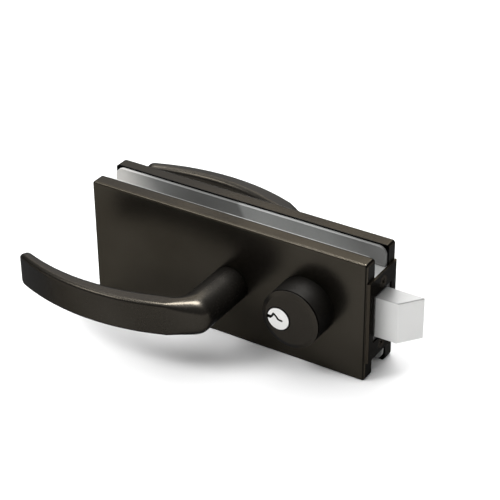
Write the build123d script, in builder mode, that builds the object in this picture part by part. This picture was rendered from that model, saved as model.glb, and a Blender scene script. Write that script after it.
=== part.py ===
from build123d import *
import os
from math import asin, cos, degrees, radians, sin, sqrt

os.makedirs("parts", exist_ok=True)

# Glass door latch. X runs toward the latch edge of the door, Y from the outside in, Z up.
# The origin is the middle of the glass, at the centre of the two cover plates.

# Glass and gaskets
glass_thickness = 12.0
gasket_thickness = 2.0
gasket_inset = 0.9
gasket_corner = 5.0
gasket_notch_corner = 2.0

# Cover plates
plate_length = 184.0
plate_height = 76.0
cover_depth = 8.5
cover_wall = 2.0
cover_face = 2.2
cover_corner = 2.0
cover_inner_corner = 0.8
cover_edge_round = 1.4

# Clamp plates
clamp_thickness = 4.0
clamp_corner = 1.2

# Clearances
running = 0.05
loose = 0.3
seat = 0.1

# Lever axis, measured from the latch end and the centre line of the plates
lever_backset = 88.0
lever_drop = 2.0

# Lever, seen from above
neck_radius = 11.25
neck_gap = 0.4
journal_radius = 9.5
journal_end_gap = 0.4
lever_projection = 60.9
outer_bow_radius = 138.0
outer_bow_offset = 60.0
inside_bend_radius = 9.0
inside_bend_start = 33.4
bend_softness = 14.0
bar_height = 21.0
bar_root_thickness = 12.0
bar_tip_thickness = 7.6
bar_root_reach = 19.0
lever_reach = 115.3
tip_round = 5.0
tip_fullness = 0.96
face_round = 2.4
back_round = 3.6
lever_turn = 60.0

# Spindle and its screws
spindle_size = 8.0
spindle_reach = 33.0
spindle_chamfer = 0.5
grub_radius = 2.5
grub_length = 6.0
grub_distance = 8.5
grub_socket = 2.5
grub_socket_depth = 2.5

# Lever bushing and retaining ring
bushing_wall = 1.5
bushing_flange = 1.8
bushing_flange_thickness = 1.0
ring_thickness = 1.0
ring_depth = 0.8
ring_height = 2.0
ring_gap = 12.0

# Lock case
case_length = 114.0
case_height = 50.0
case_wall = 1.2
case_end_wall = 4.0
case_corner = 1.0
post_radius = 2.8
post_sink = 0.5
case_screw_radius = 1.25
case_screw_head = 2.4
case_screw_length = 8.0

# Faceplate
faceplate_height = 52.0
faceplate_thickness = 1.5
faceplate_edge_round = 1.3
faceplate_inset = 0.4
faceplate_screw_spacing = 39.8
faceplate_screw_radius = 2.4
faceplate_screw_head = 3.8
faceplate_screw_length = 5.4
faceplate_opening_width = 20.0
faceplate_opening_height = 30.6
guide_plate_thickness = 0.6
recess_width = 0.9
recess_length = 3.8
recess_depth = 1.1

# Latch bolt
bolt_width = 13.4
bolt_height = 26.2
bolt_throw = 23.4
bolt_near_projection = 12.9
bolt_guide = 11.0
bolt_edge_round = 0.7

# Hub
hub_radius = 9.0
hub_arm_width = 3.2
hub_arm_thickness = 6.0
hub_nose_radius = 2.2
hub_disc_radius = 13.0
hub_disc_thickness = 2.2
hub_notch_height = 4.6
hub_notch_drop = 8.0
hub_notch_depth = 5.0
nose_gap = 0.4

# Retractor slide
retractor_thickness = 3.0
retractor_bottom = 10.5
lug_thickness = 3.0
lug_bottom = 17.3
tab_thickness = 3.0
tab_bottom = 8.0
guide_pin_radius = 2.0
guide_pin_height = 17.0
guide_pin_first = 18.0
guide_pin_spacing = 30.0

# Springs
latch_spring_radius = 3.4
latch_spring_wire = 0.8
latch_spring_turns = 9
latch_spring_height = 17.0
anchor_thickness = 3.0
anchor_offset = 32.0
anchor_bottom = 12.5
hub_spring_wire = 1.2
hub_spring_turns = 2

# Key cylinder
lock_backset = 45.3
lock_drop = 1.4
housing_radius = 17.9
housing_base_radius = 18.2
housing_length = 17.6
housing_bevel_width = 2.5
housing_bevel_depth = 0.7
housing_front_band = 0.6
housing_groove = 0.4
housing_offset_x = 7.0
housing_offset_z = 1.4
stem_radius = 9.5
stem_end_gap = 1.0
nut_size = 24.0
nut_thickness = 1.9
plug_radius = 7.1
plug_rim = 0.6
plug_proud = 0.25
plug_end_gap = 0.1
clip_thickness = 0.7
clip_depth = 0.6
clip_height = 1.5
clip_opening = 8.0
keyway_width = 0.8
keyway_depth = 6.0
keyway_mouth = 2.2
keyway_mouth_length = 2.4
keyway_rise = 2.6
keyway_end = 2.3
key_turn = 90.0

# Tail bar and cam
tail_width = 5.0
tail_thickness = 1.8
tail_clearance = 0.25
cam_barrel_radius = 4.5
cam_disc_radius = 10.0
cam_disc_thickness = 2.4
cam_pin_orbit = 8.0
cam_pin_radius = 1.5

# Locking slide
locking_thickness = 2.2
locking_bottom = 15.0
locking_step = 5.7
locking_prong = 2.0
locking_nose_height = 4.0
fork_clearance = 0.35
nose_stop_gap = 0.5
rail_height = 1.8
rail_gap = 0.25

# Thumbturn
rose_radius = 16.0
rose_height = 8.0
rose_edge_round = 1.5
thumb_spindle_radius = 6.2
thumb_base_radius = 9.0
thumb_base_height = 2.4
thumb_grip_length = 28.0
thumb_grip_width = 7.0
thumb_grip_height = 12.0
thumb_grip_round = 2.0

# Fixings through the glass
fixing_screw_radius = 2.0
fixing_screw_head = 3.7
fixing_screw_reach = 4.0
sleeve_radius = 3.0
glass_sleeve_wall = 1.9
glass_fixing_x = -66.0
glass_fixing_z = 20.0
case_fixing_x = (30.0, 70.0)
case_fixing_z = -18.5
cover_screw_radius = 1.5
cover_screw_length = 5.5
cover_screw_x = 60.0
cover_screw_socket = 1.5
cover_screw_socket_depth = 1.6

# Planes and places that follow from the sizes
glass_face = glass_thickness / 2
clamp_face = glass_face + gasket_thickness
clamp_back = clamp_face + clamp_thickness
cover_front = clamp_face + cover_depth
cover_inside = cover_front - cover_face
latch_end = plate_length / 2
lever_x = latch_end - lever_backset
lever_z = -lever_drop
lock_x = latch_end - lock_backset
lock_z = -lock_drop
case_left = latch_end - case_length
case_inner = clamp_face - case_wall
case_top = case_height / 2 - case_wall
faceplate_front = latch_end + faceplate_thickness
glass_fixings = [(glass_fixing_x, glass_fixing_z), (glass_fixing_x, -glass_fixing_z)]
case_fixings = [(x, case_fixing_z) for x in case_fixing_x]
all_fixings = glass_fixings + case_fixings
cover_screw_y = clamp_face + clamp_thickness / 2
clamp_height = plate_height - 2 * cover_wall - 2 * loose
clamp_length = plate_length - 2 * cover_wall - 2 * loose
hub_arm_radius = bolt_throw / (2 * sin(radians(lever_turn / 2)))
post_inset = post_radius - post_sink
post_left = case_left + case_wall + post_inset
post_right = latch_end - case_end_wall - post_inset
post_height = case_top - post_inset
posts = [(x, z) for x in (post_left, post_right) for z in (-post_height, post_height)]


# A plane across the door at a distance from the middle of the glass, facing the outside.
def facing_out(distance):
    return Plane.XZ.offset(distance)


# The same plane on the inside half, facing the inside.
def facing_in(distance):
    return Plane(origin=(0, distance, 0), x_dir=(1, 0, 0), z_dir=(0, 1, 0))


# Points given as X and Z, turned into the local X and Y of a plane that faces in.
def seen_from_inside(points):
    return [(x, -z) for x, z in points]


# Outside cover: a shallow pan with holes for the lever and the lock.
with BuildPart() as outside_cover:
    with BuildSketch(facing_out(clamp_face)):
        RectangleRounded(plate_length, plate_height, cover_corner)
    extrude(amount=cover_depth)
    fillet(outside_cover.faces().sort_by(Axis.Y)[0].edges(), radius=cover_edge_round)
    with BuildSketch(facing_out(clamp_face)):
        RectangleRounded(
            plate_length - 2 * cover_wall, plate_height - 2 * cover_wall, cover_inner_corner
        )
    extrude(amount=cover_depth - cover_face, mode=Mode.SUBTRACT)
    with BuildSketch(facing_out(clamp_face)):
        with Locations((lever_x, lever_z)):
            Circle((journal_radius + neck_radius) / 2)
        with Locations((lock_x, lock_z)):
            Circle(stem_radius + seat)
    extrude(amount=cover_depth, mode=Mode.SUBTRACT)
    with BuildSketch(Plane.XY.offset(-plate_height / 2)):
        with Locations((-cover_screw_x, -cover_screw_y), (cover_screw_x, -cover_screw_y)):
            Circle(cover_screw_radius + seat)
    extrude(amount=cover_wall, mode=Mode.SUBTRACT)
outside_cover.part.label = "outside_cover"
export_step(outside_cover.part, "parts/outside_cover.step")

with BuildPart() as inside_cover:
    mirror(outside_cover.part, about=Plane.XZ)
inside_cover.part.label = "inside_cover"
export_step(inside_cover.part, "parts/inside_cover.step")


# A clamp plate on the outside, with holes of one radius at the fixings.
def clamp_plate(fixing_radius):
    with BuildPart() as plate:
        with BuildSketch(facing_out(clamp_face)):
            RectangleRounded(clamp_length, clamp_height, clamp_corner)
            with Locations((lever_x, lever_z)):
                Circle(journal_radius + running + bushing_wall, mode=Mode.SUBTRACT)
            with Locations((lock_x, lock_z)):
                Circle(stem_radius + running, mode=Mode.SUBTRACT)
            with Locations(*all_fixings):
                Circle(fixing_radius, mode=Mode.SUBTRACT)
        extrude(amount=clamp_thickness)
        with BuildSketch(Plane.XY.offset(-clamp_height / 2)):
            with Locations((-cover_screw_x, -cover_screw_y), (cover_screw_x, -cover_screw_y)):
                Circle(cover_screw_radius)
        extrude(amount=cover_screw_length, mode=Mode.SUBTRACT)
    return plate.part


with BuildPart() as outside_clamp_plate:
    add(clamp_plate(sleeve_radius + running))
outside_clamp_plate.part.label = "outside_clamp_plate"
export_step(outside_clamp_plate.part, "parts/outside_clamp_plate.step")

with BuildPart(facing_in(clamp_back)) as inside_clamp_plate:
    mirror(clamp_plate(fixing_screw_radius + seat), about=Plane.XZ)
    with Locations(*seen_from_inside(all_fixings)):
        CounterSinkHole(fixing_screw_radius + seat, fixing_screw_head + seat, counter_sink_angle=90)
inside_clamp_plate.part.label = "inside_clamp_plate"
export_step(inside_clamp_plate.part, "parts/inside_clamp_plate.step")

# Gasket, cut away round the lock case and open at the latch end.
with BuildPart() as outside_gasket:
    with BuildSketch(facing_out(glass_face)) as gasket_outline:
        RectangleRounded(
            plate_length - 2 * gasket_inset, plate_height - 2 * gasket_inset, gasket_corner
        )
        with Locations((case_left - loose, 0)):
            Rectangle(
                plate_length,
                case_height + 2 * loose,
                align=(Align.MIN, Align.CENTER),
                mode=Mode.SUBTRACT,
            )
        notch_corners = (
            gasket_outline.vertices()
            .filter_by(lambda v: abs(abs(v.Z) - case_height / 2 - loose) < seat)
        )
        fillet(notch_corners, radius=gasket_notch_corner)
        with Locations(*glass_fixings):
            Circle(sleeve_radius + seat + glass_sleeve_wall + loose, mode=Mode.SUBTRACT)
    extrude(amount=gasket_thickness)
outside_gasket.part.label = "outside_gasket"
export_step(outside_gasket.part, "parts/outside_gasket.step")

with BuildPart() as inside_gasket:
    mirror(outside_gasket.part, about=Plane.XZ)
inside_gasket.part.label = "inside_gasket"
export_step(inside_gasket.part, "parts/inside_gasket.step")

# Lock case: a tray that opens to the inside, with a thick end wall at the latch end.
spring_anchor_x = lever_x + anchor_offset
retractor_face = case_inner - loose - retractor_thickness
rail_right = lock_x + cam_disc_radius
rail_left = case_fixing_x[0] + sleeve_radius + 2 * loose
with BuildPart() as lock_case:
    with BuildSketch(facing_out(-case_inner)):
        with Locations(((case_left + latch_end) / 2, 0)):
            RectangleRounded(case_length, case_height, case_corner)
    extrude(amount=case_inner + clamp_face)
    pocket_length = case_length - case_wall - case_end_wall
    with BuildSketch(facing_out(-case_inner)):
        with Locations((case_left + case_wall + pocket_length / 2, 0)):
            Rectangle(pocket_length, 2 * case_top)
    extrude(amount=2 * case_inner, mode=Mode.SUBTRACT)
    with BuildSketch(facing_out(-case_inner)):
        with Locations(*posts):
            Circle(post_radius)
    extrude(amount=2 * case_inner)
    with BuildSketch(facing_out(loose - retractor_face)):
        with Locations((spring_anchor_x, case_top)):
            Rectangle(anchor_thickness, case_top - anchor_bottom, align=(Align.MAX, Align.MAX))
    extrude(amount=case_inner + retractor_face - loose)
    with BuildSketch(facing_out(case_inner - loose - locking_thickness)):
        with Locations((rail_left, -locking_bottom - rail_gap)):
            Rectangle(rail_right - rail_left, rail_height, align=(Align.MIN, Align.MAX))
    extrude(amount=loose + locking_thickness)
    with BuildSketch(Plane.YZ.offset(latch_end - case_end_wall)):
        Rectangle(bolt_width + 2 * seat, bolt_height + 2 * seat)
        with GridLocations(0, faceplate_screw_spacing, 1, 2):
            Circle(faceplate_screw_radius)
    extrude(amount=case_end_wall, mode=Mode.SUBTRACT)
    with BuildSketch(facing_out(-case_inner)):
        with Locations((lever_x, lever_z)):
            Circle(hub_radius + running)
        with Locations((lock_x, lock_z)):
            Circle(cam_barrel_radius + running)
        with Locations(*case_fixings):
            Circle(sleeve_radius + seat)
    extrude(amount=case_inner + clamp_face, mode=Mode.SUBTRACT)
    with BuildSketch(facing_out(-case_inner)):
        with Locations(*posts):
            Circle(case_screw_radius)
    extrude(amount=2 * case_inner, mode=Mode.SUBTRACT)
lock_case.part.label = "lock_case"
export_step(lock_case.part, "parts/lock_case.step")

guide_pins = [
    (lever_x + guide_pin_first + number * guide_pin_spacing, guide_pin_height) for number in range(2)
]
with BuildPart(facing_in(clamp_face)) as case_cover:
    with BuildSketch(facing_out(-clamp_face)):
        with Locations(((case_left + latch_end) / 2, 0)):
            RectangleRounded(case_length, case_height, case_corner)
        with Locations((lever_x, lever_z)):
            Circle(hub_radius + running, mode=Mode.SUBTRACT)
        with Locations((lock_x, lock_z)):
            Circle(cam_barrel_radius + running, mode=Mode.SUBTRACT)
        with Locations(*case_fixings):
            Circle(sleeve_radius + seat, mode=Mode.SUBTRACT)
        with Locations(*guide_pins):
            Circle(guide_pin_radius, mode=Mode.SUBTRACT)
    extrude(amount=case_wall)
    with Locations(*seen_from_inside(posts)):
        CounterSinkHole(case_screw_radius + seat, case_screw_head + seat, counter_sink_angle=90)
case_cover.part.label = "case_cover"
export_step(case_cover.part, "parts/case_cover.step")


# A countersunk screw, its head flush with the given plane and its shank going into it.
def countersunk_screws(plane, points, head, shank, length):
    with BuildPart(plane) as screws:
        with Locations(*points):
            Cone(shank, head, head - shank, align=(Align.CENTER, Align.CENTER, Align.MAX))
            Cylinder(shank, length, align=(Align.CENTER, Align.CENTER, Align.MAX))
    return screws.part


with BuildPart() as case_screws:
    add(
        countersunk_screws(
            facing_in(clamp_face),
            seen_from_inside(posts),
            case_screw_head,
            case_screw_radius,
            case_screw_length,
        )
    )
case_screws.part.label = "case_screws"
export_step(case_screws.part, "parts/case_screws.step")

with BuildPart() as slide_pins:
    with BuildSketch(facing_out(-clamp_face)):
        with Locations(*guide_pins):
            Circle(guide_pin_radius)
    extrude(amount=clamp_face - retractor_face)
slide_pins.part.label = "slide_pins"
export_step(slide_pins.part, "parts/slide_pins.step")

# Faceplate over the ends of the case and of both covers.
with BuildPart(Plane.YZ.offset(faceplate_front)) as faceplate:
    with BuildSketch(Plane.YZ.offset(latch_end)):
        Rectangle(2 * cover_front - 2 * faceplate_inset, faceplate_height)
    extrude(amount=faceplate_thickness)
    outer_sides = faceplate.edges().filter_by(Axis.Z).group_by(Axis.X)[-1]
    fillet(outer_sides, radius=faceplate_edge_round)
    with BuildSketch(Plane.YZ.offset(latch_end)):
        Rectangle(faceplate_opening_width, faceplate_opening_height)
    extrude(amount=faceplate_thickness, mode=Mode.SUBTRACT)
    with GridLocations(0, faceplate_screw_spacing, 1, 2):
        CounterSinkHole(
            faceplate_screw_radius + seat, faceplate_screw_head + seat, counter_sink_angle=90
        )
faceplate.part.label = "faceplate"
export_step(faceplate.part, "parts/faceplate.step")

faceplate_screw_points = [(0, -faceplate_screw_spacing / 2), (0, faceplate_screw_spacing / 2)]
with BuildPart() as faceplate_screws:
    add(
        countersunk_screws(
            Plane.YZ.offset(faceplate_front),
            faceplate_screw_points,
            faceplate_screw_head,
            faceplate_screw_radius,
            faceplate_screw_length,
        )
    )
    with BuildSketch(Plane.YZ.offset(faceplate_front)):
        with Locations(*faceplate_screw_points):
            Rectangle(recess_width, recess_length, rotation=45)
            Rectangle(recess_length, recess_width, rotation=45)
    extrude(amount=-recess_depth, mode=Mode.SUBTRACT)
faceplate_screws.part.label = "faceplate_screws"
export_step(faceplate_screws.part, "parts/faceplate_screws.step")

# Guide plate round the bolt, sunk in the faceplate's opening.
with BuildPart() as guide_plate:
    with BuildSketch(Plane.YZ.offset(latch_end)):
        Rectangle(faceplate_opening_width - 2 * seat, faceplate_opening_height - 2 * seat)
        Rectangle(bolt_width + 2 * seat, bolt_height + 2 * seat, mode=Mode.SUBTRACT)
    extrude(amount=guide_plate_thickness)
guide_plate.part.label = "guide_plate"
export_step(guide_plate.part, "parts/guide_plate.step")

# Latch bolt, bevelled on the side that meets the strike.
bolt_rear = latch_end - bolt_guide
with BuildPart() as latch_bolt:
    with BuildSketch(Plane.XY.offset(-bolt_height / 2)):
        with BuildLine():
            Polyline(
                (bolt_rear, -bolt_width / 2),
                (faceplate_front + bolt_near_projection, -bolt_width / 2),
                (faceplate_front + bolt_throw, bolt_width / 2),
                (bolt_rear, bolt_width / 2),
                close=True,
            )
        make_face()
    extrude(amount=bolt_height)
    fillet(latch_bolt.edges(), radius=bolt_edge_round)
latch_bolt.part.label = "latch_bolt"
export_step(latch_bolt.part, "parts/latch_bolt.step")

# Retractor slide: a plate with a lug for the hub's nose and a tab behind the bolt.
nose_x = lever_x + hub_arm_radius * sin(radians(lever_turn / 2))
nose_z = lever_z + hub_arm_radius * cos(radians(lever_turn / 2))
lug_face = nose_x - hub_nose_radius - nose_gap
slide_top = case_top - nose_gap
slot_length = bolt_throw + 2 * guide_pin_radius + 2 * loose
with BuildPart() as retractor_slide:
    with BuildSketch(facing_out(loose - case_inner)):
        with Locations((lug_face - lug_thickness, slide_top)):
            Rectangle(
                bolt_rear - lug_face + lug_thickness,
                slide_top - retractor_bottom,
                align=(Align.MIN, Align.MAX),
            )
        with Locations(
            *[(x - guide_pin_radius - loose + slot_length / 2, z) for x, z in guide_pins]
        ):
            SlotOverall(slot_length, 2 * (guide_pin_radius + seat), mode=Mode.SUBTRACT)
    extrude(amount=retractor_thickness)
    with BuildSketch(facing_out(loose - case_inner)):
        with Locations((lug_face, slide_top)):
            Rectangle(lug_thickness, slide_top - lug_bottom, align=(Align.MAX, Align.MAX))
    extrude(amount=case_inner + hub_arm_thickness / 2)
    with BuildSketch(facing_out(loose - case_inner)):
        with Locations((bolt_rear, slide_top)):
            Rectangle(tab_thickness, slide_top - tab_bottom, align=(Align.MAX, Align.MAX))
    extrude(amount=2 * (case_inner - loose))
retractor_slide.part.label = "retractor_slide"
export_step(retractor_slide.part, "parts/retractor_slide.step")

# Compression spring between the case's anchor and the retractor's tab.
latch_spring_y = (retractor_face - loose - case_inner) / 2
latch_spring_length = bolt_rear - tab_thickness - spring_anchor_x - latch_spring_wire
with BuildPart() as latch_spring:
    with BuildLine() as latch_coil:
        Helix(
            pitch=latch_spring_length / latch_spring_turns,
            height=latch_spring_length,
            radius=latch_spring_radius,
            center=(spring_anchor_x + latch_spring_wire / 2, latch_spring_y, latch_spring_height),
            direction=(1, 0, 0),
        )
    with BuildSketch(Plane(origin=latch_coil.line @ 0, z_dir=latch_coil.line % 0)):
        Rectangle(latch_spring_wire, latch_spring_wire)
    sweep(path=latch_coil.line, is_frenet=True)
latch_spring.part.label = "latch_spring"
export_step(latch_spring.part, "parts/latch_spring.step")

# Hub: barrel through both walls of the case, arm, and a notched disc for the locking slide.
with BuildPart() as lever_hub:
    with BuildSketch(facing_out(-clamp_face)):
        with Locations((lever_x, lever_z)):
            Circle(hub_radius)
    extrude(amount=2 * clamp_face)
    with BuildSketch(facing_out(-hub_arm_thickness / 2)):
        with Locations((lever_x, lever_z)):
            Rectangle(
                hub_arm_width,
                hub_arm_radius,
                rotation=-lever_turn / 2,
                align=(Align.CENTER, Align.MIN),
            )
        with Locations((nose_x, nose_z)):
            Circle(hub_nose_radius)
    extrude(amount=hub_arm_thickness)
    with BuildSketch(facing_out(case_inner - loose - hub_disc_thickness)):
        with Locations((lever_x, lever_z)):
            Circle(hub_disc_radius)
        with Locations((lever_x + hub_disc_radius, lever_z - hub_notch_drop)):
            Rectangle(
                2 * hub_notch_depth,
                hub_notch_height,
                mode=Mode.SUBTRACT,
            )
    extrude(amount=hub_disc_thickness)
    with BuildSketch(facing_out(-clamp_face)):
        with Locations((lever_x, lever_z)):
            Rectangle(spindle_size + 2 * running, spindle_size + 2 * running)
    extrude(amount=2 * clamp_face, mode=Mode.SUBTRACT)
lever_hub.part.label = "lever_hub"
export_step(lever_hub.part, "parts/lever_hub.step")

# Torsion spring round the hub.
hub_spring_radius = hub_radius + loose + hub_spring_wire / 2
hub_spring_length = retractor_thickness - hub_spring_wire
with BuildPart() as hub_spring:
    with BuildLine() as hub_coil:
        Helix(
            pitch=hub_spring_length / hub_spring_turns,
            height=hub_spring_length,
            radius=hub_spring_radius,
            center=(lever_x, retractor_face + hub_spring_wire / 2, lever_z),
            direction=(0, 1, 0),
        )
    with BuildSketch(Plane(origin=hub_coil.line @ 0, z_dir=hub_coil.line % 0)):
        Circle(hub_spring_wire / 2 - running)
    sweep(path=hub_coil.line, is_frenet=True)
hub_spring.part.label = "hub_spring"
export_step(hub_spring.part, "parts/hub_spring.step")

# Square spindle through the hub and into both levers.
with BuildPart() as spindle:
    with BuildSketch(facing_out(-spindle_reach)):
        with Locations((lever_x, lever_z)):
            Rectangle(spindle_size, spindle_size)
    extrude(amount=2 * spindle_reach)
    chamfer(spindle.faces().filter_by(Axis.Y).edges(), length=spindle_chamfer)
spindle.part.label = "spindle"
export_step(spindle.part, "parts/spindle.step")

# The lever in plan. Its outer face is one long bow, and its sections fan round the inside bend
# before they follow that bow to the tip. Distances are from the lever axis and the cover's face.
bow_centre_x = -outer_bow_offset
bow_centre_out = lever_projection - outer_bow_radius
bend_centre_x = -neck_radius - inside_bend_radius
bend_centre_out = inside_bend_start


# Distance from the inside bend's centre to the lever's outer outline, along a ray turned by an
# angle from the +X direction toward the outside.
def outline_distance(angle):
    across, out = cos(radians(angle)), sin(radians(angle))
    to_side = (neck_radius - bend_centre_x) / across
    from_bow_x = bend_centre_x - bow_centre_x
    from_bow_out = bend_centre_out - bow_centre_out
    half = from_bow_x * across + from_bow_out * out
    rest = from_bow_x**2 + from_bow_out**2 - outer_bow_radius**2
    to_bow = sqrt(half**2 - rest) - half
    return (to_side**-bend_softness + to_bow**-bend_softness) ** (-1 / bend_softness)


# One closed section between an outer and an inner point of the plan, as a face on its own plane.
# Its corners are rounded by one radius on the lever's face and by another on its back.
def lever_section(outer, inner, height, face_round, back_round):
    span = (outer[0] - inner[0], outer[1] - inner[1])
    half = sqrt(span[0] ** 2 + span[1] ** 2) / 2
    top = height / 2
    plane = Plane(
        origin=(
            lever_x + (outer[0] + inner[0]) / 2,
            -cover_front - (outer[1] + inner[1]) / 2,
            lever_z,
        ),
        x_dir=(span[0], -span[1], 0),
        z_dir=(span[1], span[0], 0),
    )
    with BuildSketch(plane) as section:
        with BuildLine():
            Line((half, face_round - top), (half, top - face_round))
            CenterArc((half - face_round, top - face_round), face_round, 0, 90)
            Line((half - face_round, top), (back_round - half, top))
            CenterArc((back_round - half, top - back_round), back_round, 90, 90)
            Line((-half, top - back_round), (-half, back_round - top))
            CenterArc((back_round - half, back_round - top), back_round, 180, 90)
            Line((back_round - half, -top), (half - face_round, -top))
            CenterArc((half - face_round, face_round - top), face_round, 270, 90)
        make_face()
    return section.sketch


# Mix of two values, from the first at 0 to the second at 1.
def mix(first, second, share):
    return first + (second - first) * share


# Angle on the bow of a point of the outer face at a distance from the lever axis.
def bow_angle(distance):
    return degrees(asin((outer_bow_offset - distance) / outer_bow_radius))


# One section of the bar, at an angle on the bow, drawn in by a trim and a shrink at the tip.
def bar_section(angle, thickness, trim, shrink):
    across, out = sin(radians(angle)), cos(radians(angle))
    near = outer_bow_radius - trim
    far = outer_bow_radius - thickness + trim
    return lever_section(
        (bow_centre_x + near * across, bow_centre_out + near * out),
        (bow_centre_x + far * across, bow_centre_out + far * out),
        bar_height - 2 * shrink,
        face_round * (near - far) / bar_tip_thickness if trim else face_round,
        back_round * (near - far) / bar_tip_thickness if trim else back_round,
    )


bend_start_round = (outline_distance(0) - inside_bend_radius) / 2 - running
bar_sections = []
for angle in (0, 10, 20, 30, 40, 50, 60):
    share = angle / 60
    across, out = cos(radians(angle)), sin(radians(angle))
    reach = outline_distance(angle)
    bar_sections.append(
        lever_section(
            (bend_centre_x + reach * across, bend_centre_out + reach * out),
            (
                bend_centre_x + inside_bend_radius * across,
                bend_centre_out + inside_bend_radius * out,
            ),
            mix(2 * neck_radius, bar_height, share),
            mix(bend_start_round, face_round, share),
            mix(bend_start_round, back_round, share),
        )
    )
bar_steps = 17
bar_root_angle = bow_angle(bar_root_reach)
bar_tip_angle = bow_angle(lever_reach)
tip_start = bar_tip_angle + degrees(tip_round / outer_bow_radius)
for step in range(bar_steps):
    share = step / (bar_steps - 1)
    thickness = mix(bar_root_thickness, bar_tip_thickness, share)
    bar_sections.append(bar_section(mix(bar_root_angle, tip_start, share), thickness, 0, 0))
tip_sections = []
for share in (0, 0.5, 0.8, 0.95, 1.0):
    shrink = tip_round * (1 - sqrt(1 - (tip_fullness * share) ** 2))
    trim = shrink * bar_tip_thickness / (2.6 * tip_round)
    tip_sections.append(
        bar_section(mix(tip_start, bar_tip_angle, share), bar_tip_thickness, trim, shrink)
    )

journal_end = clamp_face + journal_end_gap
ring_side = clamp_back + bushing_flange_thickness + seat
with BuildPart() as outside_lever:
    loft(sections=bar_sections)
    loft(sections=tip_sections)
    extrude(bar_sections[0], amount=inside_bend_start - neck_gap)
    with BuildSketch(facing_out(journal_end)):
        with Locations((lever_x, lever_z)):
            Circle(journal_radius)
    extrude(amount=cover_front + neck_gap - journal_end)
    with BuildSketch(facing_out(ring_side)):
        with Locations((lever_x, lever_z)):
            Circle(journal_radius + running)
            Circle(journal_radius - ring_depth, mode=Mode.SUBTRACT)
    extrude(amount=ring_thickness + seat, mode=Mode.SUBTRACT)
    with BuildSketch(facing_out(journal_end)):
        with Locations((lever_x, lever_z)):
            Rectangle(spindle_size + 2 * running, spindle_size + 2 * running)
    extrude(amount=spindle_reach + loose - journal_end, mode=Mode.SUBTRACT)
    with BuildSketch(Plane.XY.offset(lever_z - neck_radius)):
        with Locations((lever_x, -cover_front - grub_distance)):
            Circle(grub_radius)
    extrude(amount=neck_radius, mode=Mode.SUBTRACT)
outside_lever.part.label = "outside_lever"
export_step(outside_lever.part, "parts/outside_lever.step")

with BuildPart() as inside_lever:
    mirror(outside_lever.part, about=Plane.XZ)
inside_lever.part.label = "inside_lever"
export_step(inside_lever.part, "parts/inside_lever.step")

# Grub screws that press on the spindle, one in each lever.
with BuildPart() as lever_grub_screws:
    with BuildSketch(Plane.XY.offset(lever_z - spindle_size / 2 - grub_length)):
        with Locations(
            (lever_x, -cover_front - grub_distance), (lever_x, cover_front + grub_distance)
        ):
            Circle(grub_radius)
    extrude(amount=grub_length)
    with BuildSketch(Plane.XY.offset(lever_z - spindle_size / 2 - grub_length)):
        with Locations(
            (lever_x, -cover_front - grub_distance), (lever_x, cover_front + grub_distance)
        ):
            RegularPolygon(grub_socket / 2, 6, major_radius=False)
    extrude(amount=grub_socket_depth, mode=Mode.SUBTRACT)
lever_grub_screws.part.label = "lever_grub_screws"
export_step(lever_grub_screws.part, "parts/lever_grub_screws.step")

# Flanged bushing of the lever, seated in the clamp plate.
bushing_bore = journal_radius + running
with BuildPart() as outside_lever_bushing:
    with BuildSketch(facing_out(clamp_face + loose)):
        with Locations((lever_x, lever_z)):
            Circle(bushing_bore + bushing_wall)
    extrude(amount=clamp_thickness - loose)
    with BuildSketch(facing_out(clamp_back)):
        with Locations((lever_x, lever_z)):
            Circle(bushing_bore + bushing_wall + bushing_flange)
    extrude(amount=bushing_flange_thickness)
    with BuildSketch(facing_out(clamp_face)):
        with Locations((lever_x, lever_z)):
            Circle(bushing_bore)
    extrude(amount=clamp_thickness + bushing_flange_thickness, mode=Mode.SUBTRACT)
outside_lever_bushing.part.label = "outside_lever_bushing"
export_step(outside_lever_bushing.part, "parts/outside_lever_bushing.step")

with BuildPart() as inside_lever_bushing:
    mirror(outside_lever_bushing.part, about=Plane.XZ)
inside_lever_bushing.part.label = "inside_lever_bushing"
export_step(inside_lever_bushing.part, "parts/inside_lever_bushing.step")


# An open ring that snaps into a groove, on the outside half.
def snap_ring(centre, distance, inner, outer, thickness, gap):
    with BuildPart() as ring:
        with BuildSketch(facing_out(distance)):
            with Locations(centre):
                Circle(outer)
                Circle(inner, mode=Mode.SUBTRACT)
                Rectangle(gap, 2 * outer, align=(Align.CENTER, Align.MAX), mode=Mode.SUBTRACT)
        extrude(amount=thickness)
    return ring.part


with BuildPart() as outside_retaining_ring:
    add(
        snap_ring(
            (lever_x, lever_z),
            ring_side + running,
            journal_radius - ring_depth + running,
            journal_radius + ring_height,
            ring_thickness,
            ring_gap,
        )
    )
outside_retaining_ring.part.label = "outside_retaining_ring"
export_step(outside_retaining_ring.part, "parts/outside_retaining_ring.step")

with BuildPart() as inside_retaining_ring:
    mirror(outside_retaining_ring.part, about=Plane.XZ)
inside_retaining_ring.part.label = "inside_retaining_ring"
export_step(inside_retaining_ring.part, "parts/inside_retaining_ring.step")

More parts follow.
